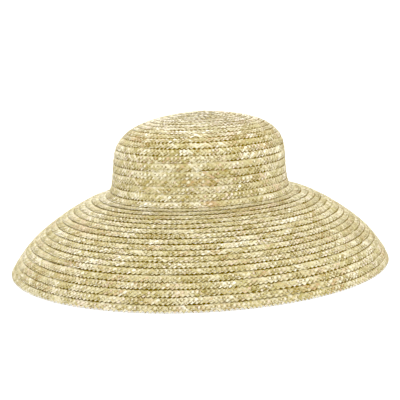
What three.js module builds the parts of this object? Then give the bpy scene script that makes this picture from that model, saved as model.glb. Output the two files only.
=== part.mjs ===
// A wide-brimmed straw hat. The real one is a single flat plait sewn round and round from the top of
// the crown to the rim, and each round laps over the next one down. The wall is thin where a round
// comes out from under its neighbour and thick at its lower edge, so the rounds show as low steps.
// Lengths are millimetres and +Z is up. The hat rests on its rim, its front faces -Y, and the origin
// is on the ground under the middle of the rim.

import * as THREE from 'three';

// The rounds of plait: how much of each shows, and the wall where one starts and where it laps over
const CROWN_ROUND_WIDTH = 7.1;
const BRIM_ROUND_WIDTH = 7;
const CROWN_ROUNDS = 20;
const BRIM_ROUNDS = 18;
const WALL_UNDER = 1.3;
const WALL_OVER = 2.2;

// The turn from crown to brim, where the head goes in
const TURN_RADIUS = 95;
const OVAL = 1.06;

// The crown stands a little to one side of the rim's middle, and its top leans the same way
const CROWN_OFFSET = 2.9;
const CROWN_LEAN = 5.8;

// The crown's lowest round laps over a tongue at the brim's inner edge
const GAP = 0.3;
const TONGUE_ROUNDS = 0.4;
const POCKET_ROUNDS = 0.45;

// How the wall falls from the top of the crown to the rim. Rounds count outwards from the turn, and
// the slope is the wall's angle below the level, in degrees.
const SLOPES = [
  { round: -21, slope: 8 },
  { round: -15, slope: 10.5 },
  { round: -12, slope: 20 },
  { round: -10, slope: 34.5 },
  { round: -8, slope: 58 },
  { round: -6.5, slope: 80 },
  { round: -5, slope: 86 },
  { round: -3, slope: 85 },
  { round: -2, slope: 80 },
  { round: -0.5, slope: 65 },
  { round: 0.5, slope: 12 },
  { round: 1.5, slope: 14 },
  { round: 4, slope: 26 },
  { round: 8, slope: 33.5 },
  { round: 12, slope: 40 },
  { round: 15, slope: 52.5 },
  { round: 18, slope: 59 },
];

// Fineness of the faceted solids
const SIDES = 48;
const INNER_STEP = 1.5;
const STEPS_PER_ROUND = 16;

const STRAW_COLOUR = '#d9cd9c';
const STRAW_ROUGHNESS = 0.55;

function slopeAt(round) {
  const last = SLOPES.findIndex((row, i) => i > 0 && row.round >= round);
  const low = SLOPES[last - 1];
  const high = SLOPES[last];
  return THREE.MathUtils.degToRad(
    THREE.MathUtils.mapLinear(round, low.round, high.round, low.slope, high.slope),
  );
}

// A point of the wall's section: x is the distance from the middle and y the height over the turn.
// It follows the inner face from the turn, then steps out through the wall by the offset.
function wallPoint(round, offset) {
  const steps = Math.ceil(Math.abs(round) * STEPS_PER_ROUND);
  const width = round < 0 ? CROWN_ROUND_WIDTH : BRIM_ROUND_WIDTH;
  const point = new THREE.Vector2(TURN_RADIUS, 0);
  for (let step = 0; step < steps; step += 1) {
    const run = (round * width) / steps;
    const slope = slopeAt(((step + 0.5) * round) / steps);
    point.x += run * Math.cos(slope);
    point.y -= run * Math.sin(slope);
  }
  const slope = slopeAt(round);
  point.x += offset * Math.sin(slope);
  point.y += offset * Math.cos(slope);
  return point;
}

// The rim is cut level, so that the hat lies flat on it
function rimPoint(offset) {
  const point = wallPoint(BRIM_ROUNDS, 0);
  point.x += offset / Math.sin(slopeAt(BRIM_ROUNDS));
  return point;
}

// The middle of the crown's top, where the first round closes
function topPoint(offset) {
  const edge = wallPoint(-CROWN_ROUNDS, offset);
  return new THREE.Vector2(0, edge.y + edge.x * Math.tan(slopeAt(-CROWN_ROUNDS)));
}

// The outer face of whole rounds, each rising from under the last one to its own lapped edge
function lappedFace(firstRound, endRound) {
  const points = [];
  for (let round = firstRound; round < endRound; round += 1) {
    points.push(wallPoint(round, WALL_UNDER));
    points.push(wallPoint(round + 1, WALL_OVER));
  }
  return points;
}

// The plain inner face, from one round up to another
function innerFace(lowRound, highRound) {
  const steps = Math.round((lowRound - highRound) / INNER_STEP);
  const points = [];
  for (let step = 0; step <= steps; step += 1) {
    points.push(wallPoint(THREE.MathUtils.lerp(lowRound, highRound, step / steps), 0));
  }
  return points;
}

function crownSection() {
  return [
    topPoint(WALL_OVER),
    wallPoint(-CROWN_ROUNDS, WALL_OVER),
    ...lappedFace(-CROWN_ROUNDS, 0),
    wallPoint(0, WALL_UNDER),
    wallPoint(-POCKET_ROUNDS, WALL_UNDER),
    ...innerFace(-POCKET_ROUNDS, -CROWN_ROUNDS),
    topPoint(0),
  ];
}

function brimSection() {
  return [
    wallPoint(-TONGUE_ROUNDS, WALL_UNDER - GAP),
    wallPoint(0, WALL_UNDER - GAP),
    wallPoint(1, WALL_OVER),
    ...lappedFace(1, BRIM_ROUNDS - 1),
    wallPoint(BRIM_ROUNDS - 1, WALL_UNDER),
    rimPoint(WALL_OVER),
    rimPoint(0),
    ...innerFace(BRIM_ROUNDS - INNER_STEP, 0),
    wallPoint(-TONGUE_ROUNDS, 0),
  ];
}

const TURN_HEIGHT = -wallPoint(BRIM_ROUNDS, 0).y;
const RIM_RADIUS = rimPoint(WALL_OVER).x;
const CROWN_HEIGHT = topPoint(WALL_OVER).y;

// A section point turned to its place round the hat. The crown is a little longer from front to back
// than it is wide, and the brim keeps one width all round it.
function placed(point, angle) {
  const lengthening = (OVAL - 1) * Math.min(point.x, TURN_RADIUS);
  const outOnBrim = Math.max(0, (point.x - TURN_RADIUS) / (RIM_RADIUS - TURN_RADIUS));
  const upCrown = Math.max(0, point.y / CROWN_HEIGHT);
  const sideways = CROWN_OFFSET * (1 - outOnBrim ** 2) + CROWN_LEAN * upCrown ** 2;
  return [
    point.x * Math.sin(angle) + sideways,
    -(point.x + lengthening) * Math.cos(angle),
    point.y + TURN_HEIGHT,
  ];
}

// Turns a section into a closed shell. Points on the axis are single vertices, and all others are
// rings. A section that starts on the axis also ends on it, and any other closes on itself.
function shell(section) {
  const positions = [];
  const rings = section.map((point) => {
    const count = point.x === 0 ? 1 : SIDES;
    const start = positions.length / 3;
    for (let side = 0; side < count; side += 1) {
      positions.push(...placed(point, (side / SIDES) * 2 * Math.PI));
    }
    return (side) => start + (side % count);
  });
  const startsOnAxis = section[0].x === 0;
  const strips = startsOnAxis ? rings.length - 1 : rings.length;
  const triangles = [];
  for (let strip = 0; strip < strips; strip += 1) {
    const near = rings[strip];
    const far = rings[(strip + 1) % rings.length];
    for (let side = 0; side < SIDES; side += 1) {
      if (far(side) !== far(side + 1)) {
        triangles.push(near(side), far(side), far(side + 1));
      }
      if (near(side) !== near(side + 1)) {
        triangles.push(near(side), far(side + 1), near(side + 1));
      }
    }
  }
  const geometry = new THREE.BufferGeometry();
  geometry.setAttribute('position', new THREE.Float32BufferAttribute(positions, 3));
  geometry.setIndex(triangles);
  geometry.computeVertexNormals();
  return geometry;
}

function strawPiece(name, section) {
  const straw = new THREE.MeshStandardMaterial({
    color: STRAW_COLOUR,
    roughness: STRAW_ROUGHNESS,
    metalness: 0,
  });
  const piece = new THREE.Mesh(shell(section), straw);
  piece.name = name;
  return piece;
}

const hat = new THREE.Group();
hat.add(strawPiece('crown', crownSection()));
hat.add(strawPiece('brim', brimSection()));

export default hat;
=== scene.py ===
# %% [markdown]
# # A straw hat, sewn from one long plait
#
# The real hat starts as a flat plait of split wheat straws, about 10 mm wide and 26 m long. It is
# sewn round and round from the middle of the crown to the rim, and each round laps over the next
# one down. This lesson builds the hat the same way: one straw crossing is modelled, it is laid
# thousands of times along the plait's path, and the path winds down the hat's wall.
#
# The imported CAD model gives the true size, so it is loaded first and its box is kept.

# %% Load the imported model
import math

import bmesh
import bpy
import numpy as np
from mathutils import Matrix, Vector


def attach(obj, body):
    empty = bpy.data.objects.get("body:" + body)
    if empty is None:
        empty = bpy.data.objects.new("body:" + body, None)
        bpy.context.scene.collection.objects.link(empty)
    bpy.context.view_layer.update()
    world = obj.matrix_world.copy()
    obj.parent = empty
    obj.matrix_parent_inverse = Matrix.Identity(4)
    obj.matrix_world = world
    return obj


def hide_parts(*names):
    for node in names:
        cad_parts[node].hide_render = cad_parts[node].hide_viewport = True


MM = 0.001


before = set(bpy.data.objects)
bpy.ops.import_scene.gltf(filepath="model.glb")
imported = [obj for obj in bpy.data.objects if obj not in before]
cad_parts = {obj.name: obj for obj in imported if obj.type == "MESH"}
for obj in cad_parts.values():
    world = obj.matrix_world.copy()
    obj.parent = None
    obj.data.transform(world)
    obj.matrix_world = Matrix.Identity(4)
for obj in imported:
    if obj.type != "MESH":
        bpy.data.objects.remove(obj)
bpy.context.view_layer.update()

# %% [markdown]
# ## The camera
#
# A camera is an object that holds a lens. It stands in front of the hat, a little over a metre away
# and slightly above it, and looks at the middle of the turn between crown and brim. The hat leans
# in the picture, so the camera is rolled about its own axis. A small shift centres the hat in the
# picture, as sliding the film does in a real view camera, and it doesn't turn the camera.

# %% Place the camera
TURN_HEIGHT = 73.94 * MM
CROWN_OFFSET = 2.9 * MM
CAMERA_FROM_TURN = Vector((0, -1050.9, 172.5)) * MM
CAMERA_ROLL = math.radians(-2.65)
SENSOR_WIDTH = 36
LENS_LENGTH = 91.6
IMAGE_SIZE = 400
SHIFT_IN_PIXELS = (0.36, -9.33)

looked_at = Vector((CROWN_OFFSET, 0, TURN_HEIGHT))
camera_place = looked_at + CAMERA_FROM_TURN
bpy.ops.object.camera_add(location=camera_place)
camera = bpy.context.object
camera.name = "camera"
camera.rotation_mode = "QUATERNION"
towards_hat = (looked_at - camera_place).to_track_quat("-Z", "Y")
camera.rotation_quaternion = towards_hat @ Matrix.Rotation(CAMERA_ROLL, 3, "Z").to_quaternion()
camera.data.sensor_width = SENSOR_WIDTH
camera.data.lens = LENS_LENGTH
camera.data.shift_x = SHIFT_IN_PIXELS[0] / IMAGE_SIZE
camera.data.shift_y = SHIFT_IN_PIXELS[1] / IMAGE_SIZE
bpy.context.scene.camera = camera
print("camera to hat in mm:", round((looked_at - camera_place).length / MM))

# %% [markdown]
# ## The floor and the light
#
# A studio uses a white sweep that rises behind the object, so that no horizon shows. Here it is a
# wide dish: a disc whose outer edge is extruded outwards and up, then smoothed with a subdivision
# surface. The paper also glows faintly, like a light table, so that almost no shadow is left under
# the rim. Soft light comes from a white world and from large area lamps, and those at the sides
# and behind pick out the lower edge of each round of straw.

# %% Make the floor
FLOOR_RADIUS = 2.2
FLOOR_INSET = 0.3
FLOOR_WIDENING_AND_RISE = ((1.35, 0.35), (1.2, 0.9), (1.08, 1.4))
OUTER_EDGE_SLACK = 0.01


def select_outer_edge(disc):
    """Selects the points farthest from the middle, and the edges between them."""
    points = disc.data.vertices
    farthest = max(point.co.xy.length for point in points)
    outer = {p.index for p in points if p.co.xy.length > farthest - OUTER_EDGE_SLACK}
    for point in points:
        point.select = point.index in outer
    for edge in disc.data.edges:
        edge.select = outer.issuperset(edge.vertices)
    for face in disc.data.polygons:
        face.select = False


bpy.ops.object.select_all(action="DESELECT")
bpy.ops.mesh.primitive_circle_add(
    vertices=48, radius=FLOOR_RADIUS, fill_type="NGON", location=(0, 0, 0)
)
floor = bpy.context.object
floor.name = "floor"
bpy.ops.object.mode_set(mode="EDIT")
bpy.ops.mesh.select_all(action="SELECT")
bpy.ops.mesh.inset(thickness=FLOOR_INSET)
bpy.ops.mesh.select_all(action="DESELECT")
bpy.ops.object.mode_set(mode="OBJECT")
for widening, rise in FLOOR_WIDENING_AND_RISE:
    select_outer_edge(floor)
    bpy.ops.object.mode_set(mode="EDIT")
    bpy.ops.mesh.extrude_edges_move(TRANSFORM_OT_translate={"value": (0, 0, rise)})
    bpy.ops.transform.resize(value=(widening, widening, 1), center_override=(0, 0, 0))
    bpy.ops.object.mode_set(mode="OBJECT")
smoothing = floor.modifiers.new("smoothing", "SUBSURF")
smoothing.levels = smoothing.render_levels = 2
bpy.ops.object.modifier_apply(modifier="smoothing")
bpy.ops.object.shade_smooth()
print("floor faces:", len(floor.data.polygons))

# %% Give the floor its paper
FLOOR_COLOUR = (0.6, 0.6, 0.6)
FLOOR_ROUGHNESS = 0.95
FLOOR_SPECULAR = 0.1
FLOOR_GLOW = 0.55
WHITE = (1, 1, 1, 1)

floor_paper = bpy.data.materials.new("floor_paper")
floor_paper.use_nodes = True
paper_shader = floor_paper.node_tree.nodes["Principled BSDF"]
paper_shader.inputs["Base Color"].default_value = (*FLOOR_COLOUR, 1)
paper_shader.inputs["Roughness"].default_value = FLOOR_ROUGHNESS
paper_shader.inputs["Specular IOR Level"].default_value = FLOOR_SPECULAR
paper_shader.inputs["Emission Color"].default_value = WHITE
paper_shader.inputs["Emission Strength"].default_value = FLOOR_GLOW
floor.data.materials.append(floor_paper)
print("floor material:", floor_paper.name)

# %% Light the studio
WORLD_STRENGTH = 1.0
# Each lamp's name, place in metres, size in metres and power in watts.
LAMPS = (
    ("lamp_over", (0.15, -0.3, 1.6), 1.0, 16),
    ("lamp_front", (0.1, -1.8, 0.9), 1.2, 2),
    ("lamp_left", (-1.6, 0.2, 0.7), 1.0, 4),
    ("lamp_right", (1.6, 0.2, 0.7), 1.0, 4.5),
    ("lamp_back", (-0.1, 1.4, 1.2), 1.2, 12),
)

world = bpy.data.worlds.new("studio_white")
bpy.context.scene.world = world
world.use_nodes = True
world.node_tree.nodes["Background"].inputs["Color"].default_value = WHITE
world.node_tree.nodes["Background"].inputs["Strength"].default_value = WORLD_STRENGTH

for lamp_name, lamp_place, lamp_size, lamp_power in LAMPS:
    bpy.ops.object.light_add(type="AREA", location=lamp_place)
    lamp = bpy.context.object
    lamp.name = lamp_name
    lamp.data.size = lamp_size
    lamp.data.energy = lamp_power
    lamp.rotation_mode = "QUATERNION"
    lamp.rotation_quaternion = (looked_at - Vector(lamp_place)).to_track_quat("-Z", "Y")
bpy.context.scene.view_settings.view_transform = "Standard"

# %% [markdown]
# ## The hat's wall
#
# Cut through the middle, the wall is one curve from the top of the crown to the rim. It is written
# as the wall's slope, in degrees below the level, at counted rounds of plait: round 0 ends at the
# turn where the head goes in, minus 20 is at the top and 18 is the rim. Walking along the slopes in
# small steps gives the curve, and a step out along its normal gives the straw that stands on it.

# %% Walk down the wall
TURN_RADIUS = 95 * MM
RIM_RADIUS = 196.96 * MM
CROWN_HEIGHT = 83.74 * MM
CROWN_ROUND = 7.1 * MM
BRIM_ROUND = 7 * MM
TOP = -21
RIM = 18
SLOPES = {
    TOP: 3, -18: 7, -15: 10.5, -12: 20, -10: 34.5, -8: 58, -6.5: 80, -5: 86, -3: 85, -2: 80,
    -0.5: 65, 0.5: 12, 1.5: 14, 4: 26, 8: 33.5, 12: 40, 15: 52.5, RIM: 59,
}
WALK_STEP = 1 / 16


def from_table(table, places):
    """Reads a table of places and numbers, on a straight line between its entries."""
    return np.interp(places, list(table), list(table.values()))


def slope_at(rounds):
    """The wall's slope in radians."""
    return np.radians(from_table(SLOPES, rounds))


def walk(last_round, round_width):
    """Rounds, distances from the middle and heights over the turn, from the turn to a round."""
    rounds = np.linspace(0, last_round, round(abs(last_round) / WALK_STEP) + 1)
    slopes = slope_at((rounds[1:] + rounds[:-1]) / 2)
    runs = np.diff(rounds) * round_width
    out = TURN_RADIUS + np.concatenate([[0], np.cumsum(runs * np.cos(slopes))])
    up = -np.concatenate([[0], np.cumsum(runs * np.sin(slopes))])
    return rounds, out, up


crown_walk = [column[:0:-1] for column in walk(TOP, CROWN_ROUND)]
brim_walk = walk(RIM + 1, BRIM_ROUND)
WALL_ROUNDS, WALL_OUT, WALL_UP = (np.concatenate(pair) for pair in zip(crown_walk, brim_walk))
print("wall points:", len(WALL_ROUNDS))

# %% Find places on the wall
PLAIT_STANDS = 1.5 * MM
NEAREST_TO_MIDDLE = 0.1 * MM


def wall_point(rounds, thickness):
    """Distance from the middle and height over the turn, at a thickness over the inner face."""
    slopes = slope_at(rounds)
    out = np.interp(rounds, WALL_ROUNDS, WALL_OUT) + thickness * np.sin(slopes)
    up = np.interp(rounds, WALL_ROUNDS, WALL_UP) + thickness * np.cos(slopes)
    return np.maximum(out, NEAREST_TO_MIDDLE), up


plait_out, plait_up = wall_point(WALL_ROUNDS, PLAIT_STANDS)
WALL_LENGTHS = np.concatenate([[0], np.cumsum(np.hypot(np.diff(plait_out), np.diff(plait_up)))])


def rounds_above(edge, distance):
    """The round that lies a distance up the wall from an edge, measured where the plait stands."""
    length = np.interp(edge, WALL_ROUNDS, WALL_LENGTHS) - distance
    return np.interp(length, WALL_LENGTHS, WALL_ROUNDS)


print("inner rim radius in mm:", round(float(wall_point(RIM, 0)[0]) / MM, 2))

# %% [markdown]
# ## Round the hat
#
# The hat isn't a perfect turning. The head opening is a little longer from front to back, and the
# crown stands and leans a few millimetres to one side. This helper takes points of the wall, turns
# them to their angle and adds those differences. Angle 0 is the front, and it grows to the right.

# %% Place points round the hat
OVAL = 1.06
CROWN_LEAN = 5.8 * MM


def lengthened(out):
    """A distance from the middle as it is at the front and back of the oval."""
    return out + (OVAL - 1) * np.minimum(out, TURN_RADIUS)


def round_the_hat(out, up, angle):
    """Points of the wall, turned to an angle and moved as the crown stands and leans."""
    out_on_brim = np.maximum(0, (out - TURN_RADIUS) / (RIM_RADIUS - TURN_RADIUS))
    up_crown = np.maximum(0, up / CROWN_HEIGHT)
    sideways = CROWN_OFFSET * (1 - out_on_brim**2) + CROWN_LEAN * up_crown**2
    return np.stack(
        [out * np.sin(angle) + sideways, -lengthened(out) * np.cos(angle), up + TURN_HEIGHT],
        axis=-1,
    )


rim_sides = round_the_hat(*wall_point(np.full(2, RIM), 0), np.radians([-90, 90]))
print("inner rim from left to right in mm:", np.round(rim_sides[:, 0] / MM, 1))

# %% [markdown]
# ## The plait's path
#
# The plait winds down like a screw thread. A sewer keeps its rounds level where they show and lets
# them step down at the back of the hat, so the path is written that way: the lower edge stays at
# one place over the front, and eases to the next behind. Rounds aren't quite even either. They lie
# closer on the dome and wider on the upright wall, as the list of their lower edges says. The path
# is walked one crossing at a time, each as long as the plait's pitch, which also comes and goes.

# %% Say where the rounds lie
PITCH = 4.4 * MM
PLAIT_WIDTH = 9.7 * MM
FULL_TURN = 2 * math.pi
STEP_DOWN = (math.radians(95), math.radians(265))
FIRST_ON_BRIM = 0.32
LOWER_EDGES = (
    -20.15, -19.25, -18.35, -17.45, -16.55, -15.7, -14.85, -14, -13.15, -12.25, -11.4, -10.55,
    -9.72, -8.93, -8.02, -7.1, -6.17, -5.1, -4.02, -3, -2, -0.95, FIRST_ON_BRIM, 1.42, 2.5, 3.52,
    4.5, 5.42, 6.42, 7.4, 8.4, 9.38, 10.34, 11.32, 12.26, 13.24, 14.26, 15.25, 16.22, 17.21, 18.2,
)
LAST_TURN = len(LOWER_EDGES) - 1


def lower_edge(turning):
    """The round at which the plait's lower edge lies, after turning by an angle in all."""
    turns = np.floor(turning / FULL_TURN)
    behind = (turning - turns * FULL_TURN - STEP_DOWN[0]) / (STEP_DOWN[1] - STEP_DOWN[0])
    behind = np.clip(behind, 0, 1)
    eased = behind * behind * (3 - 2 * behind)
    return np.interp(turns + eased, range(LAST_TURN + 1), LOWER_EDGES)


print("rounds of plait:", len(LOWER_EDGES))

# %% Wind the path
SMALLEST_RADIUS = 3 * MM
MIDDLE_ABOVE_EDGE = 0.55
MIDDLE_STANDS = 1 * MM
PATH_START = -0.25 * FULL_TURN
PATH_END = LAST_TURN * FULL_TURN + STEP_DOWN[1]
STRETCH_KEPT = 0.9
STRETCH_CHANCE = 0.035
chance = np.random.default_rng(11)


def turning_radius(turning):
    """How far the plait's middle moves for each radian."""
    out, up = wall_point(lower_edge(turning) - MIDDLE_ABOVE_EDGE, MIDDLE_STANDS)
    sideways = out * math.cos(turning)
    lengthwise = lengthened(out) * math.sin(turning)
    return max(math.hypot(sideways, lengthwise), SMALLEST_RADIUS)


path = [PATH_START]
stretch = 0
while path[-1] < PATH_END:
    stretch = STRETCH_KEPT * stretch + chance.normal(scale=STRETCH_CHANCE)
    path.append(path[-1] + PITCH * (1 + stretch) / turning_radius(path[-1]))
path = np.array(path)
crossing_count = len(path)
print("crossings:", crossing_count, "plait length in m:", round(crossing_count * PITCH, 1))

# %% [markdown]
# ## One straw crossing
#
# This is a plait of five. Each straw runs slantwise from one edge to the other, folds, and comes
# back. On its way it crosses four others, over and under by turns, so the visible faces are small
# diamonds, with half diamonds where the straws fold at the edges. Two shapes make the whole plait:
# a straw that goes down to the lower edge, and one that comes back up from the fold, which starts
# on top and tucks under the next straw at once.
#
# Each is a four-sided tube, pressed flat as split straw is, with a faint ridge. It is cut across at
# its four crossings and near the lower fold with bisect. Its rings are then slanted until they lie
# along the straws that they cross, and raised or lowered. Both are drawn flat here: x along the
# plait, y across it from upper to lower edge, and z out of the hat.

# %% Measure the straw
STALKS = 5
STRAW_WIDTH = 0.93 * PITCH
STRAW_THICKNESS = 0.34 * MM
SLANT = STALKS / 2 * PITCH
HALF_CROSSING = 1 / STALKS / 2
LIFT = 0.2 * MM
FOLD_LIFT = 0.2 * MM
TOOTH_CORNER = -0.85 * MM
TOOTH_TIP = 0.3 * MM
# How far down the straw each cut lies, and whether a straw going down is over (1) or under (-1).
FOLD_RING = 0.9
RING_HEIGHTS = {0.2: -1, 0.4: 1, 0.6: -1, 0.8: 1, FOLD_RING: 0}
# No ring reaches past the corners of the fold.
CORNER_CLEARANCE = 0.01
LAST_BACK = 1 + TOOTH_CORNER / PLAIT_WIDTH - CORNER_CLEARANCE
print("straw width in mm:", round(STRAW_WIDTH / MM, 2), "slant in mm:", round(SLANT / MM, 1))

# %% Cut a straight straw
def flat_straw(name):
    """A straight straw across the plait, cut at the places where it crosses others."""
    bpy.ops.object.select_all(action="DESELECT")
    bpy.ops.mesh.primitive_cylinder_add(
        vertices=4, radius=0.5, depth=PLAIT_WIDTH, end_fill_type="NGON",
        location=(0, PLAIT_WIDTH / 2, 0), rotation=(math.radians(-90), 0, 0),
    )
    unit = bpy.context.object
    unit.name = name
    bpy.ops.object.transform_apply(location=True, rotation=True, scale=True)
    bpy.ops.object.mode_set(mode="EDIT")
    bpy.ops.mesh.select_all(action="SELECT")
    bpy.ops.transform.resize(value=(STRAW_WIDTH, 1, STRAW_THICKNESS), center_override=(0, 0, 0))
    for cut in RING_HEIGHTS:
        bpy.ops.mesh.select_all(action="SELECT")
        bpy.ops.mesh.bisect(plane_co=(0, cut * PLAIT_WIDTH, 0), plane_no=(0, 1, 0))
    bpy.ops.object.mode_set(mode="OBJECT")
    return unit


straw_down = flat_straw("straw_down")
flat_points = np.array([v.co for v in straw_down.data.vertices])
# Where each point lies along the straw (0 to 1), to its left or right, and round it (0 to 1).
ALONG = flat_points[:, 1] / PLAIT_WIDTH
HAND = flat_points[:, 0] / STRAW_WIDTH
AROUND = np.arctan2(flat_points[:, 2] / STRAW_THICKNESS, HAND) / FULL_TURN % 1
bpy.ops.object.duplicate()
straw_up = bpy.context.object
straw_up.name = "straw_up"
print("one straw:", len(ALONG), "points,", len(straw_down.data.polygons), "faces")

# %% Slant and lift the rings
CUT_SLACK = 0.01 * MM
SIDE_SLACK = 0.1 * STRAW_WIDTH


def select_points(unit, wanted):
    """Selects the unit's points that wanted says yes to, and nothing else. It is in edit mode."""
    bpy.ops.mesh.select_all(action="DESELECT")
    shape = bmesh.from_edit_mesh(unit.data)
    for vertex in shape.verts:
        vertex.select = wanted(vertex.co)
    shape.select_flush_mode()
    bmesh.update_edit_mesh(unit.data)


def ring_side(cut, hand):
    """Picks the ring at a cut: its left side for hand -1, right side for 1, or middle for 0."""
    def wanted(co):
        at_cut = abs(co.y - cut * PLAIT_WIDTH) < CUT_SLACK
        return at_cut and abs(co.x - hand * STRAW_WIDTH / 2) < SIDE_SLACK
    return wanted


def bend_straw(unit, side):
    """Slants and lifts the rings. side is 1 for the straw going down and -1 for the one going up."""
    bpy.context.view_layer.objects.active = unit
    bpy.ops.object.mode_set(mode="EDIT")
    for cut, height in RING_HEIGHTS.items():
        for hand in (-1, 0, 1):
            select_points(unit, ring_side(cut, hand))
            back = min(-hand * side * HALF_CROSSING, LAST_BACK - cut)
            sideways = side * (cut + back - 0.5) * SLANT
            bpy.ops.transform.translate(value=(sideways, back * PLAIT_WIDTH, side * height * LIFT))
    for end, outwards in ((0, -1), (1, 1)):
        for hand in (-1, 0, 1):
            select_points(unit, ring_side(end, hand))
            tooth = TOOTH_CORNER if hand else TOOTH_TIP
            height = 0 if hand and end else -side * FOLD_LIFT
            sideways = side * (end - 0.5) * SLANT
            bpy.ops.transform.translate(value=(sideways, outwards * tooth, height))
    bpy.ops.object.mode_set(mode="OBJECT")


bend_straw(straw_up, -1)
bpy.ops.object.select_all(action="DESELECT")
straw_down.select_set(True)
bend_straw(straw_down, 1)
print("slanted straw in mm:", [round(length / MM, 1) for length in straw_down.dimensions])

# %% [markdown]
# ## Wandering, dust and painted shade
#
# Nothing sewn by hand is quite even. All the chance in this lesson comes from one seeded source, so
# that every run gives the same hat. Some of it changes slowly along the plait: its edge wanders a
# little up and down, and is level only at the rim.
#
# A painted shadow, with some dust, darkens each round just under the lapped edge above it, most of
# all on the straws that come back up. It isn't even round the hat, so two tables say how dark it is
# there, from the left (-1) to the right (1), darkest on the right. The dome has an even layer, the
# rounds next to the turn have less, and the very middle of the crown's top has none.

# %% Make helpers for easing and chance
TURN_EASE_START = -1
TURN_EASE_LENGTH = 2.5


def share_of(distance, length):
    """How much of a length a distance has covered: 0 before it, 1 past it."""
    return np.clip(distance / length, 0, 1)


def mixed(first, second, share):
    """A number between the first, at a share of 0, and the second, at a share of 1."""
    return first + (second - first) * share


def on_brim(edge):
    """0 on the crown and 1 on the brim, eased over the turn between them."""
    return share_of(edge - TURN_EASE_START, TURN_EASE_LENGTH)


def slow_chance(count, spacing):
    """Smooth chance numbers, one for each crossing, that change over a number of crossings."""
    knots = chance.normal(size=count // spacing + 3)
    return np.interp(np.arange(count) / spacing, np.arange(len(knots)), knots)


# %% Let the edge wander
# How far it wanders, in rounds of plait, and over how many crossings.
WANDER = 0.035
WANDER_SPACING = 8
RIM_START = (LAST_TURN - 1) * FULL_TURN + STEP_DOWN[1]
RIM_FADE = 0.3

at_rim = np.clip((path - RIM_START) / RIM_FADE + 1, 0, 1)
wander = slow_chance(crossing_count, WANDER_SPACING) * WANDER * (1 - at_rim)
print("widest wander in mm:", round(float(np.abs(wander).max()) * BRIM_ROUND / MM, 2))

# %% Spread the dust and painted shade
# Painted shadow with some dust under each lapped edge, by angle from the left (-1) to the right (1).
WALL_DUST_AND_SHADE = {-0.85: 1.1, -0.5: 0.22, 0: 0.4, 0.5: 1.6, 0.95: 3}
BRIM_DUST_AND_SHADE = {-1: 0.5, -0.75: 1.4, 0.3: 1.4, 0.75: 1.7, 0.95: 2.2}
DOME_DUST_AND_SHADE = 2.3
# Starts and ends are given in rounds of plait down the wall.
DOME_START = -5.5
TURN_DUST_AND_SHADE_LOSS = 0.65
TURN_DUST_AND_SHADE_END = 4
TURN_DUST_AND_SHADE_EASING = 2
DUST_AND_SHADE_UNEVENNESS = 0.6
DUST_AND_SHADE_SPACING = 3
LEAST_AND_MOST_DUST_AND_SHADE = (0.1, 1.5)


def dust_and_shade_there(turning, edge):
    """How much dust and painted shade lie at an angle round the hat, and a round down its wall."""
    from_left = np.sin(turning)
    near_turn = share_of(TURN_DUST_AND_SHADE_END - edge, TURN_DUST_AND_SHADE_EASING)
    dust_and_shade = from_table(WALL_DUST_AND_SHADE, from_left)
    dust_and_shade = mixed(dust_and_shade, DOME_DUST_AND_SHADE, share_of(DOME_START - edge, 1))
    dust_and_shade = mixed(dust_and_shade, from_table(BRIM_DUST_AND_SHADE, from_left), on_brim(edge))
    return dust_and_shade * (1 - TURN_DUST_AND_SHADE_LOSS * on_brim(edge) * near_turn)


uneven_dust_and_shade = 1 + DUST_AND_SHADE_UNEVENNESS * slow_chance(crossing_count, DUST_AND_SHADE_SPACING)
uneven_dust_and_shade = np.clip(uneven_dust_and_shade, *LEAST_AND_MOST_DUST_AND_SHADE)
print("mean dust on the path:", round(float(dust_and_shade_there(path, lower_edge(path)).mean()), 2))

# %% [markdown]
# ## Lay the straws
#
# The hat needs thousands of these two straws, so they are laid with arrays of numbers: one row for
# each straw, one column for each of its points. A point keeps its own place on the plait. The path
# says how far round the hat that is, and the wall says where it stands. The plait tilts outwards,
# thin where it lies under the last round and proud at its lower edge, which droops a little. The
# folded straws stick out of that edge as small teeth, and they show most at the rim. Each straw is
# also shifted, widened, lengthened and raised a little by chance.

# %% Tilt the plait and deepen its teeth
# How far the plait's edges stand over the wall. Each pair is for the crown and the brim.
UPPER_EDGE_OUT = (0.8 * MM, 0.6 * MM)
LOWER_EDGE_OUT = (1.65 * MM, 1.85 * MM)
RIM_EDGE_OUT = 1.0 * MM
MIDDLE_SUNK = 0.8 * MM
EDGE_DROOP = 0.35 * MM
DROOP_START = 0.7
# How many times deeper the teeth are than on the modelled straw.
TOOTH_TIMES = (1.8, 1.7)
RIM_TOOTH_TIMES = 2.1
NOTCH_START = 0.85
TIP_START = 0.95
TO_THE_SIDE = 0.25


def crown_to_brim(pair, edge):
    """The first of a pair of numbers on the crown, and the second on the brim."""
    return mixed(*pair, on_brim(edge))


def standing_out(share, edge, rim_share, from_middle):
    """How far the plait stands over the wall, at a share of its width from its upper edge."""
    upper_out = crown_to_brim(UPPER_EDGE_OUT, edge)
    lower_out = mixed(crown_to_brim(LOWER_EDGE_OUT, edge), RIM_EDGE_OUT, rim_share)
    lower_out = lower_out - MIDDLE_SUNK * (1 - from_middle)
    drooping = EDGE_DROOP * np.clip((share - DROOP_START) / (1 - DROOP_START), 0, None) ** 2
    return upper_out + (lower_out + EDGE_DROOP - upper_out) * share - drooping


def teeth(points, edge, rim_share):
    """The teeth as they are modelled on the unit, and how many times deeper the hat's are."""
    corner = TOOTH_CORNER * (points[:, 1] > NOTCH_START * PLAIT_WIDTH)
    tooth = np.where(np.abs(HAND) > TO_THE_SIDE, corner, TOOTH_TIP * (ALONG > TIP_START))
    return tooth, mixed(crown_to_brim(TOOTH_TIMES, edge), RIM_TOOTH_TIMES, rim_share)


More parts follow.
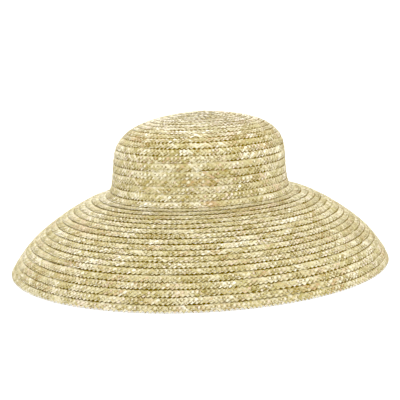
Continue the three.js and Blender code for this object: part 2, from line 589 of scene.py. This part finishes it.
# %% Lay both kinds of straw on the wall
# The straws that come up lie half a crossing on from those that go down.
DOWN_PLACE = 0
UP_PLACE = 0.5
# How much painted shadow and dust each kind of straw takes under the lapped edge.
DOWN_DUST_AND_SHADE = 1.05
UP_DUST_AND_SHADE = 1.95
RIM_EASING = math.radians(25)
# What chance does to each straw: along the plait, in width, in length, outwards and in painted
# shade and dust.
OWN_SHIFT = 0.055
OWN_WIDTH = (0.9, 1.04)
OWN_LENGTH = 0.13 * MM
OWN_HEIGHT = 0.05 * MM
OWN_DUST_AND_SHADE = (0.2, 1.1)
# The straws at both ends of the plait reach past its first and last crossing.
SPARE = 2
before_path = path[:SPARE] - SPARE * (path[1] - path[0])
after_path = path[-SPARE:] + SPARE * (path[-1] - path[-2])
longer_path = np.concatenate([before_path, path, after_path])
longer_crossings = np.arange(-SPARE, crossing_count + SPARE)


def lay(unit, first_place, dust_and_shade_share):
    """One kind of straw's placed points, their distances below the last edge, and their dust and
    painted shade.
    """
    points = np.array([v.co for v in unit.data.vertices])
    place = (np.arange(crossing_count) + first_place)[:, None]
    shifted = place + chance.normal(scale=OWN_SHIFT, size=place.shape)
    width = chance.uniform(*OWN_WIDTH, place.shape) - 1
    crossings = shifted + points[:, 0] / PITCH + width * HAND * STRAW_WIDTH / PITCH
    turning = np.interp(crossings, longer_crossings, longer_path)
    edge = lower_edge(turning) + np.interp(turning, path, wander)
    last_edge = lower_edge(turning - FULL_TURN) + np.interp(turning - FULL_TURN, path, wander)
    rim_share = share_of(turning - RIM_START, RIM_EASING)
    from_middle = share_of(edge - LOWER_EDGES[0], 1)

    across = points[:, 1] + chance.normal(scale=OWN_LENGTH, size=place.shape) * ALONG
    tooth, times = teeth(points, edge, rim_share)
    across = across - tooth + tooth * times
    raised = points[:, 2] + chance.normal(scale=OWN_HEIGHT, size=place.shape) * ALONG
    thickness = standing_out(across / PLAIT_WIDTH, edge, rim_share, from_middle) + raised
    rounds = rounds_above(edge, PLAIT_WIDTH - across)
    out, up = wall_point(rounds, thickness)

    below = (rounds - last_edge) * BRIM_ROUND
    own_dust_and_shade = chance.uniform(*OWN_DUST_AND_SHADE, place.shape)
    dust_and_shade = dust_and_shade_there(turning, edge) * uneven_dust_and_shade[:, None] * own_dust_and_shade
    return round_the_hat(out, up, turning), below, dust_and_shade * from_middle * dust_and_shade_share


down_points, down_below, down_dust_and_shade = lay(straw_down, DOWN_PLACE, DOWN_DUST_AND_SHADE)
up_points, up_below, up_dust_and_shade = lay(straw_up, UP_PLACE, UP_DUST_AND_SHADE)
print("straws:", len(down_points) + len(up_points))

# %% [markdown]
# ## The colour of each straw
#
# Straw is a grown thing: one stalk is cream, the next one green, tan or faintly pink. Five stalks
# are worked at a time, so every fifth crossing is the same stalk, until it runs out and another is
# laid in. Neighbours are also alike, as they come from one bundle. Each straw gets two numbers: its
# tone picks its colour, and its shade makes it lighter or darker. Where a straw goes down, it shows
# its dull inner side, and after the fold it comes up with the pale, waxy outer side. The top of the
# crown has seen the most sun: its straws are bleached, and also painted lighter, as painted light.

# %% Find stalks, bundles, the sun and the painted top light
STALK_ENDS = 0.12
# A stalk that goes down at one crossing comes up again two crossings on.
CROSSINGS_TO_FOLD = 2
BUNDLE_SPREAD = (0.3, 0.27)
BUNDLE_SPACING = (3, 12)
BLEACHED_AND_TOP_LIT_ABOVE = -9
BLEACHED_AND_TOP_LIT_EASING = 4


def runs_of_chance():
    """Numbers from 0 to 1 that stay the same over some crossings, then jump."""
    run = np.cumsum(chance.random(crossing_count) < STALK_ENDS)
    return chance.random(run[-1] + 1)[run]


stalk_runs = np.array([runs_of_chance() for stalk in range(STALKS)])
every_crossing = np.arange(crossing_count)
down_stalks = stalk_runs[every_crossing % STALKS, every_crossing]
up_stalks = stalk_runs[(every_crossing - CROSSINGS_TO_FOLD) % STALKS, every_crossing]
bundles = 0.5
for spread, spacing in zip(BUNDLE_SPREAD, BUNDLE_SPACING):
    bundles = bundles + spread * slow_chance(crossing_count, spacing)
# Towards the crown's top the straws are bleached, and also painted lighter as painted light from
# above.
bleached_and_top_lit = share_of(BLEACHED_AND_TOP_LIT_ABOVE - lower_edge(path), BLEACHED_AND_TOP_LIT_EASING)
print("bleached straws:", int((bleached_and_top_lit > 0).sum()))

# %% Give each straw a tone and a shade
# What a straw's tone and shade are made of, on its outer side and on its inner side.
OUTER_SIDE = {
    "bundle": 0.5, "stalk": 0.5, "sun_and_top_light": 0.2, "start": 0, "own_tone": 0.16,
    "lighter": 0.04, "own_shade": 0.15,
}
INNER_SIDE = {
    "bundle": 0.3, "stalk": 0.3, "sun_and_top_light": 0.35, "start": 0.15, "own_tone": 0.12,
    "lighter": -0.04, "own_shade": 0.13,
}
MEAN_SHADE = 0.52
# The dome's straws are also made lighter here, as painted light from above.
SUN_AND_TOP_LIGHT_SHADE = 0.05
WEATHER_SHADE = 0.11
WEATHER_SPACING = 3
CROWN_CONTRAST = 1.35
CONTRAST_LOSS = 0.35


def tones(side, stalks):
    """The tones of the straws that show one side, from 0 to 1."""
    tone = side["bundle"] * bundles + side["stalk"] * stalks + side["sun_and_top_light"] * bleached_and_top_lit
    own = chance.normal(scale=side["own_tone"], size=crossing_count)
    return np.clip(tone + side["start"] + own, 0, 1)


def shades(side):
    """The shades of the straws that show one side, from 0 to 1."""
    own = chance.normal(scale=side["own_shade"], size=crossing_count)
    return np.clip(weathering + side["lighter"] + contrast * own, 0, 1)


up_tone = tones(OUTER_SIDE, up_stalks)
down_tone = tones(INNER_SIDE, down_stalks)
weathering = MEAN_SHADE + SUN_AND_TOP_LIGHT_SHADE * bleached_and_top_lit
weathering = weathering + WEATHER_SHADE * slow_chance(crossing_count, WEATHER_SPACING)
contrast = CROWN_CONTRAST - CONTRAST_LOSS * on_brim(lower_edge(path))
up_shade = shades(OUTER_SIDE)
down_shade = shades(INNER_SIDE)
print("mean tones:", round(float(up_tone.mean()), 2), round(float(down_tone.mean()), 2))

# %% [markdown]
# ## Join the straws into pieces
#
# Ten thousand objects would be slow, so the straws of the crown become one mesh, and those of the
# brim three, which keeps each under 200,000 triangles. Every mesh carries a UV map named straw, in
# which x runs round the straw and y along it, from the upper to the lower edge. Each point also
# carries five numbers for the material: the straw's tone and shade, how far other straws cover the
# point, how many millimetres it lies below the last round's edge, and how much dust and painted
# shade lie there.
#
# The faces stay flat. A split straw has creases along its ridge and its edges, and smooth shading
# would turn each one into a shiny bead.

# %% Find covered points and outward faces
# The material paints covered points dark, as painted shade in the slits between straws, and
# FOLD_SLIT adds a painted slit beside each fold.
FOLD_SLIT = 0.7
COVER_STRENGTH = 0.7
OWN_COVER = (0.4, 1.1)


def hidden_points(side, count):
    """How far each point of some straws is covered by the others, for painted shade: 0 on show, 1
    covered.
    """
    faces_out = np.sin(AROUND * FULL_TURN)
    is_over = side * from_table({0: -1, **RING_HEIGHTS, 1: -1}, ALONG)
    is_over = is_over - FOLD_SLIT * (side > 0) * np.isclose(ALONG, FOLD_RING)
    depth = chance.uniform(*OWN_COVER, (count, 1))
    return (np.clip(0.5 - COVER_STRENGTH * faces_out * is_over, 0, 1) * depth).ravel()


def outward_faces(unit):
    """The unit's faces as lists of points, and the straw UV of every corner.

    Laying a straw on the wall mirrors it, so the order of each face's points is turned round.
    """
    faces = [list(face.vertices)[::-1] for face in unit.data.polygons]
    corners = []
    for face in faces:
        x = AROUND[face]
        # A face that crosses the map's join keeps its corners together.
        if x.max() - x.min() > 0.5:
            x[x < 0.5] += 1
        corners.extend(zip(x, ALONG[face]))
    return faces, np.array(corners)


# %% Join straws
def mesh_from_arrays(name, points, loops, sizes):
    """A mesh of points and faces. loops lists each face's points, and sizes how many they are."""
    mesh = bpy.data.meshes.new(name)
    mesh.vertices.add(len(points))
    mesh.vertices.foreach_set("co", points.astype(np.float32).ravel())
    mesh.loops.add(len(loops))
    mesh.loops.foreach_set("vertex_index", loops.astype(np.int32))
    mesh.polygons.add(len(sizes))
    first_loops = np.concatenate([[0], np.cumsum(sizes)[:-1]])
    mesh.polygons.foreach_set("loop_start", first_loops.astype(np.int32))
    mesh.polygons.foreach_set("use_smooth", np.zeros(len(sizes), bool))
    mesh.update(calc_edges=True)
    mesh.validate()
    return mesh


def join_straws(name, batches):
    """One object from batches of straws.

    Each batch is a unit, its side, and one row for each straw of placed points, distances below
    the last edge, dust and painted shade, tone and shade.
    """
    points, loops, sizes, straw_uv = [], [], [], []
    numbers = {"tone": [], "shade": [], "hidden": [], "below_edge": [], "dust_and_shade": []}
    first = 0
    for unit, side, placed, below, dust_and_shade, tone, shade in batches:
        faces, corners = outward_faces(unit)
        count, size = placed.shape[:2]
        starts = first + np.arange(count) * size
        points.append(placed.reshape(-1, 3))
        loops.append((starts[:, None] + np.concatenate(faces)).ravel())
        sizes.append(np.tile([len(face) for face in faces], count))
        straw_uv.append(np.tile(corners, (count, 1)))
        numbers["tone"].append(np.repeat(tone, size))
        numbers["shade"].append(np.repeat(shade, size))
        numbers["hidden"].append(hidden_points(side, count))
        numbers["below_edge"].append(below.ravel() / MM)
        numbers["dust_and_shade"].append(dust_and_shade.ravel())
        first += count * size
    points, loops, sizes, straw_uv = map(np.concatenate, (points, loops, sizes, straw_uv))
    mesh = mesh_from_arrays(name, points, loops, sizes)
    straw_map = mesh.uv_layers.new(name="straw")
    straw_map.data.foreach_set("uv", straw_uv.astype(np.float32).ravel())
    for attribute, values in numbers.items():
        layer = mesh.attributes.new(attribute, "FLOAT", "POINT")
        layer.data.foreach_set("value", np.concatenate(values).astype(np.float32))
    piece = bpy.data.objects.new(name, mesh)
    bpy.context.scene.collection.objects.link(piece)
    straws = sum(len(batch[2]) for batch in batches)
    print(name, "straws:", straws, "triangles:", int((sizes - 2).sum()))
    return piece


# %% Share the straws out among the pieces
CROWN_END = LOWER_EDGES.index(FIRST_ON_BRIM) * FULL_TURN - math.pi
BRIM_NAMES = ("brim_plait_inner", "brim_plait_middle", "brim_plait_outer")
crown_count = int(np.searchsorted(path, CROWN_END))
brim_count = crossing_count - crown_count
parts = {"crown_plait": slice(0, crown_count)}
for third, name in enumerate(BRIM_NAMES):
    start = crown_count + third * brim_count // len(BRIM_NAMES)
    end = crown_count + (third + 1) * brim_count // len(BRIM_NAMES)
    parts[name] = slice(start, end)


def straw_batches(part):
    """The straws going down and coming up in one part of the path."""
    kinds = (
        (straw_down, 1, down_points, down_below, down_dust_and_shade, down_tone, down_shade),
        (straw_up, -1, up_points, up_below, up_dust_and_shade, up_tone, up_shade),
    )
    return [(unit, side, *(rows[part] for rows in all_rows)) for unit, side, *all_rows in kinds]


pieces = {name: join_straws(name, straw_batches(part)) for name, part in parts.items()}
for unit in (straw_down, straw_up):
    bpy.data.objects.remove(unit)

# %% [markdown]
# ## The straw's finish
#
# Ripe straw is pale gold, with a waxy skin that gives a soft gloss along its fibres. The material
# picks a colour by the tone number and makes it lighter or darker by the shade, and a light straw
# is also a paler one. Fine noise, stretched along the straw map, draws the fibres in colour and in
# bump. Two things darken the straw: a band just below the last round's edge, on the straw's outer
# side, which is painted shadow with some dust, and a thin outline where it slips under its
# neighbours, which is painted shade. Where it is darkened, it has no gloss.
#
# A material is a tree of nodes, wired from output to input. Three kinds of node come up again and
# again here, so each gets a helper that adds it, wires it and gives its output.

# %% Make helpers that wire nodes
def point_number(tree, name):
    """A number that every point of the mesh carries."""
    node = tree.nodes.new("ShaderNodeAttribute")
    node.attribute_name = name
    return node.outputs["Fac"]


def ranged(tree, value, to_range, from_range=(0, 1), easing="LINEAR"):
    """Moves a number from one range to another."""
    node = tree.nodes.new("ShaderNodeMapRange")
    node.interpolation_type = easing
    node.inputs["From Min"].default_value, node.inputs["From Max"].default_value = from_range
    node.inputs["To Min"].default_value, node.inputs["To Max"].default_value = to_range
    tree.links.new(value, node.inputs["Value"])
    return node.outputs["Result"]


def worked_out(tree, operation, first, second):
    """Works out one number from two. The second may be an output or a plain number."""
    node = tree.nodes.new("ShaderNodeMath")
    node.operation = operation
    tree.links.new(first, node.inputs[0])
    if isinstance(second, bpy.types.NodeSocket):
        tree.links.new(second, node.inputs[1])
    else:
        node.inputs[1].default_value = second
    return node.outputs["Value"]


# %% Draw the fibres
FIBRE_STRETCH = (40, 2.5, 1)
FIBRE_DETAIL = 3
# So large a number gives straws of almost the same shade quite different fibres.
FIBRE_CHANGE = 97


def straw_fibres(tree, straw_uv, shade):
    """Fine noise that is stretched along each straw, and that no two straws share."""
    stretch = tree.nodes.new("ShaderNodeMapping")
    stretch.inputs["Scale"].default_value = FIBRE_STRETCH
    fibres = tree.nodes.new("ShaderNodeTexNoise")
    fibres.noise_dimensions = "4D"
    fibres.inputs["Scale"].default_value = 1
    fibres.inputs["Detail"].default_value = FIBRE_DETAIL
    tree.links.new(straw_uv, stretch.inputs["Vector"])
    tree.links.new(stretch.outputs["Vector"], fibres.inputs["Vector"])
    tree.links.new(worked_out(tree, "MULTIPLY", shade, FIBRE_CHANGE), fibres.inputs["W"])
    return fibres.outputs["Fac"]


# %% Colour the straw
STRAW_COLOURS = {
    0.0: (0.67, 0.48, 0.24),
    0.2: (0.69, 0.56, 0.27),
    0.4: (0.65, 0.57, 0.26),
    0.6: (0.72, 0.62, 0.32),
    0.8: (0.80, 0.72, 0.43),
    1.0: (0.82, 0.68, 0.47),
}
DARKEST_STRAW = 0.62
LIGHTEST_STRAW = 1.36
FIBRE_LIGHT = (0.88, 1.08)
FIBRE_SEEN = (0.3, 0.7)
DEEP_TO_PALE = (1.35, 0.5)


def straw_colour(tree, shade, fibres, brightness):
    """The clean straw's colour: picked by its tone, then made lighter or darker, paler or deeper."""
    colours = tree.nodes.new("ShaderNodeValToRGB")
    ramp = colours.color_ramp
    while len(ramp.elements) < len(STRAW_COLOURS):
        ramp.elements.new(0.5)
    for element, (position, colour) in zip(ramp.elements, STRAW_COLOURS.items()):
        element.position = position
        element.color = (*colour, 1)
    tree.links.new(point_number(tree, "tone"), colours.inputs["Fac"])
    straw_light = (DARKEST_STRAW * brightness, LIGHTEST_STRAW * brightness)
    lighter = ranged(tree, shade, straw_light)
    fibre_light = ranged(tree, fibres, FIBRE_LIGHT, FIBRE_SEEN)
    lit = tree.nodes.new("ShaderNodeHueSaturation")
    tree.links.new(colours.outputs["Color"], lit.inputs["Color"])
    tree.links.new(ranged(tree, shade, DEEP_TO_PALE), lit.inputs["Saturation"])
    tree.links.new(worked_out(tree, "MULTIPLY", lighter, fibre_light), lit.inputs["Value"])
    return lit.outputs["Color"]


# %% Paint dust and shade under the edges and in covered places
# The colour of dust and of painted shade, under the edges and in the slits.
SHADE_AND_DUST_COLOUR = (0.15, 0.095, 0.001)
DUST_AND_SHADE_START = 0.3
# Painted shade in the slits, where a straw slips under its neighbours.
SLIT_SEEN = (0.3, 0.65)
SLIT_DARKNESS = 0.9


def straw_darkness(tree, straw_uv, dust_and_shade_width):
    """How far painted shade and dust darken the straw, under edges and in slits: 0 is clean, 1 is
    darkest.
    """
    # Painted shadow and dust on the straw's outer side, just under the last edge.
    below_edge = point_number(tree, "below_edge")
    under_last = ranged(tree, below_edge, (1, 0), (DUST_AND_SHADE_START, dust_and_shade_width), "SMOOTHSTEP")
    place = tree.nodes.new("ShaderNodeSeparateXYZ")
    tree.links.new(straw_uv, place.inputs["Vector"])
    outside = worked_out(tree, "LESS_THAN", place.outputs["X"], 0.5)
    outer_dust_and_shade = worked_out(tree, "MULTIPLY", point_number(tree, "dust_and_shade"), outside)
    dusty_and_shaded = worked_out(tree, "MULTIPLY", under_last, outer_dust_and_shade)
    # Painted shade in the slits, where straws on top cover this one.
    in_slit = ranged(tree, point_number(tree, "hidden"), (0, SLIT_DARKNESS), SLIT_SEEN)
    return worked_out(tree, "MAXIMUM", dusty_and_shaded, in_slit)


# %% Make the straw materials
CLEAN_TO_DARKENED_SHINE = (0.35, 0)
ROUGHNESS = (0.6, 0.44)
RELIEF_STRENGTH = 0.4
RELIEF_DEPTH = 0.05 * MM


def straw_material(name, brightness, dust_and_shade_width):
    """Plaited straw for one part of the hat. The dust and painted shade reach that many mm below
    each edge.
    """
    material = bpy.data.materials.new(name)
    material.use_nodes = True
    tree = material.node_tree
    shader = tree.nodes["Principled BSDF"]
    straw_map = tree.nodes.new("ShaderNodeUVMap")
    straw_map.uv_map = "straw"
    straw_uv = straw_map.outputs["UV"]
    shade = point_number(tree, "shade")
    fibres = straw_fibres(tree, straw_uv, shade)
    darkness = straw_darkness(tree, straw_uv, dust_and_shade_width)

    darkened = tree.nodes.new("ShaderNodeMix")
    darkened.data_type = "RGBA"
    darkened.inputs["B"].default_value = (*SHADE_AND_DUST_COLOUR, 1)
    tree.links.new(darkness, darkened.inputs["Factor"])
    tree.links.new(straw_colour(tree, shade, fibres, brightness), darkened.inputs["A"])
    tree.links.new(darkened.outputs["Result"], shader.inputs["Base Color"])

    # Painted shade and dust take the gloss away.
    shine = ranged(tree, darkness, CLEAN_TO_DARKENED_SHINE)
    tree.links.new(shine, shader.inputs["Specular IOR Level"])
    tree.links.new(ranged(tree, fibres, ROUGHNESS), shader.inputs["Roughness"])
    relief = tree.nodes.new("ShaderNodeBump")
    relief.inputs["Strength"].default_value = RELIEF_STRENGTH
    relief.inputs["Distance"].default_value = RELIEF_DEPTH
    tree.links.new(fibres, relief.inputs["Height"])
    tree.links.new(relief.outputs["Normal"], shader.inputs["Normal"])
    print(name, "nodes:", len(tree.nodes))
    return material


# The crown's copy is a little lighter than the brim's. Both are the same straw, so the difference is
# painted light.
crown_straw = straw_material("crown_straw_plait", brightness=0.812, dust_and_shade_width=1.8)
brim_straw = straw_material("brim_straw_plait", brightness=0.775, dust_and_shade_width=1.85)
pieces["crown_plait"].data.materials.append(crown_straw)
for name in BRIM_NAMES:
    pieces[name].data.materials.append(brim_straw)

# %% [markdown]
# ## Put the plait in the place of the CAD walls
#
# The CAD walls stay in the frame for weight and collision, hidden. The plait takes their place in
# the picture, and rides on the same body.

# %% Replace the walls
for piece in pieces.values():
    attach(piece, "root")
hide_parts("crown")
for name in BRIM_NAMES:
    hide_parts("brim")
print("pieces in place:", sorted(pieces))
